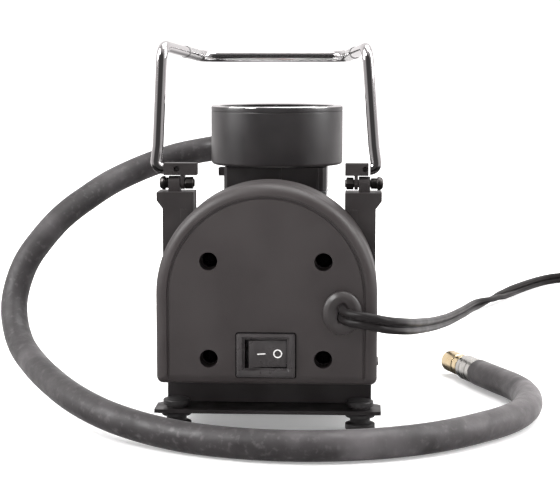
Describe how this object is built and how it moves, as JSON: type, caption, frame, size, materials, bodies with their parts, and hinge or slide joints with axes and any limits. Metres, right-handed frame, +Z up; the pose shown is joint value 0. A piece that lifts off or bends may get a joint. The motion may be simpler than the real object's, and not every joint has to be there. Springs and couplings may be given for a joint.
{
  "type": "portable tire inflator",
  "caption": "Small 12 V piston air pump on a metal base with a top gauge, swinging wire handle, rubber air hose with a screw-on chuck and a twin lead with a lighter plug.",
  "frame": {"origin": "on the floor, under the middle of the inflator itself, without its hose and lead", "axes": "+Z up, the end cover with the switch faces -Y, +X is to the right of a person facing the switch"},
  "size_m": [0.4633, 0.5727, 0.1662],
  "materials": {
    "cover_plastic": "dark grey moulded plastic with a fine grain",
    "black_plastic": "black moulded plastic, satin",
    "gloss_plastic": "black switch plastic, slightly glossy",
    "black_paint": "satin black powder coat",
    "rubber": "black rubber",
    "hose_rubber": "dusty dark grey hose rubber with a cloth-wrapped grain",
    "cable_pvc": "dark grey cable jacket, semi-gloss",
    "chrome_wire": "bright chrome plated wire",
    "zinc": "bright zinc or nickel plate",
    "steel": "plain steel",
    "brass": "machined brass",
    "aluminium": "die-cast aluminium",
    "copper": "laminated core with enamelled copper windings",
    "ferrite": "ferrite magnet, matt",
    "white_face": "white printed face",
    "red_paint": "red pointer paint",
    "clear": "clear plastic",
    "ptfe": "filled PTFE piston ring"
  },
  "bodies": {
    "frame": {"base_plate": "black_paint", "base_stand": "black_paint", "crankcase": "black_paint", "crankcase_cover": "black_paint", "cylinder": "black_paint", "cylinder_head": "black_paint", "gauge_case": "black_paint", "foot_front_left": "rubber", "foot_back_left": "rubber", "foot_front_right": "rubber", "foot_back_right": "rubber", "chuck_seal": "rubber", "plug_boot": "rubber", "end_cover": "cover_plastic", "cover_screw_top_left": "steel", "cover_screw_low_left": "steel", "cover_screw_top_right": "steel", "cover_screw_low_right": "steel", "motor_bearing": "steel", "valve_plate": "steel", "hinge_screw_left": "steel", "hinge_screw_right": "steel", "switch_housing": "gloss_plastic", "cable_grommet": "gloss_plastic", "gauge_rim": "gloss_plastic", "motor_can": "zinc", "motor_plate": "zinc", "outlet_ferrule": "zinc", "hose_ferrule": "zinc", "magnet_left": "ferrite", "magnet_right": "ferrite", "gauge_lens": "clear", "gauge_dial": "white_face", "gauge_socket": "brass", "outlet_fitting": "brass", "chuck_stem": "brass", "post_left": "black_plastic", "post_right": "black_plastic", "coil_tie": "black_plastic", "plug_body": "black_plastic", "air_hose": "hose_rubber", "power_lead": "cable_pvc", "lead_coil": "cable_pvc", "lead_tail": "cable_pvc"},
    "handle": {"handle_wire": "chrome_wire", "grip_sleeve": "clear", "hinge_block_left": "black_plastic", "hinge_block_right": "black_plastic"},
    "rocker": {"rocker": "gloss_plastic"},
    "needle": {"gauge_needle": "red_paint"},
    "rotor": {"armature": "copper", "crank_disc": "steel"},
    "piston": {"piston": "aluminium", "piston_ring": "ptfe"},
    "connecting_rod": {"connecting_rod": "aluminium"},
    "chuck_nut": {"chuck_nut": "brass"},
    "plug_tip": {"plug_tip": "zinc"},
    "plug_ring": {"plug_ring": "black_plastic"},
    "contact_left": {"plug_contact_left": "zinc"},
    "contact_right": {"plug_contact_right": "zinc"}
  },
  "joints": [
    {"name": "handle_hinge", "type": "hinge", "parent": "frame", "child": "handle", "pos_m": [0, -0.0243, 0.1045], "axis": [1, 0, 0], "range_deg": [0, 90]},
    {"name": "rocker_pivot", "type": "hinge", "parent": "frame", "child": "rocker", "pos_m": [0.00185, -0.0593, 0.0358], "axis": [0, 0, -1], "range_deg": [0, 18]},
    {"name": "needle_spindle", "type": "hinge", "parent": "frame", "child": "needle", "pos_m": [0.00185, 0.0237, 0.13], "axis": [0, 0, -1], "range_deg": [0, 270], "stiffness_Nm_per_rad": 0.0005},
    {"name": "motor_shaft", "type": "hinge", "parent": "frame", "child": "rotor", "pos_m": [0.00185, -0.0033, 0.0543], "axis": [0, 1, 0], "continuous": true},
    {"name": "piston_slide", "type": "slide", "parent": "frame", "child": "piston", "axis": [0, 0, 1], "range_m": [-0.014, 0]},
    {"name": "rod_swing", "type": "hinge", "parent": "piston", "child": "connecting_rod", "pos_m": [0.00185, 0.0237, 0.0843], "axis": [0, 1, 0], "range_deg": [-17.7, 17.7]},
    {"name": "chuck_nut_turn", "type": "hinge", "parent": "frame", "child": "chuck_nut", "pos_m": [0.08948, 0.07021, 0.0064], "axis": [-0.3907, 0.9205, 0], "continuous": true},
    {"name": "plug_tip_slide", "type": "slide", "parent": "frame", "child": "plug_tip", "axis": [0, 1, 0], "range_m": [0, 0.004], "stiffness_N_per_m": 900, "springref_m": -0.002},
    {"name": "plug_ring_turn", "type": "hinge", "parent": "frame", "child": "plug_ring", "pos_m": [0.31985, 0.3377, 0.0108], "axis": [0, -1, 0], "continuous": true},
    {"name": "contact_left_slide", "type": "slide", "parent": "frame", "child": "contact_left", "axis": [1, 0, 0], "range_m": [0, 0.0016], "stiffness_N_per_m": 1200, "springref_m": -0.0005},
    {"name": "contact_right_slide", "type": "slide", "parent": "frame", "child": "contact_right", "axis": [-1, 0, 0], "range_m": [0, 0.0016], "stiffness_N_per_m": 1200, "springref_m": -0.0005}
  ]
}
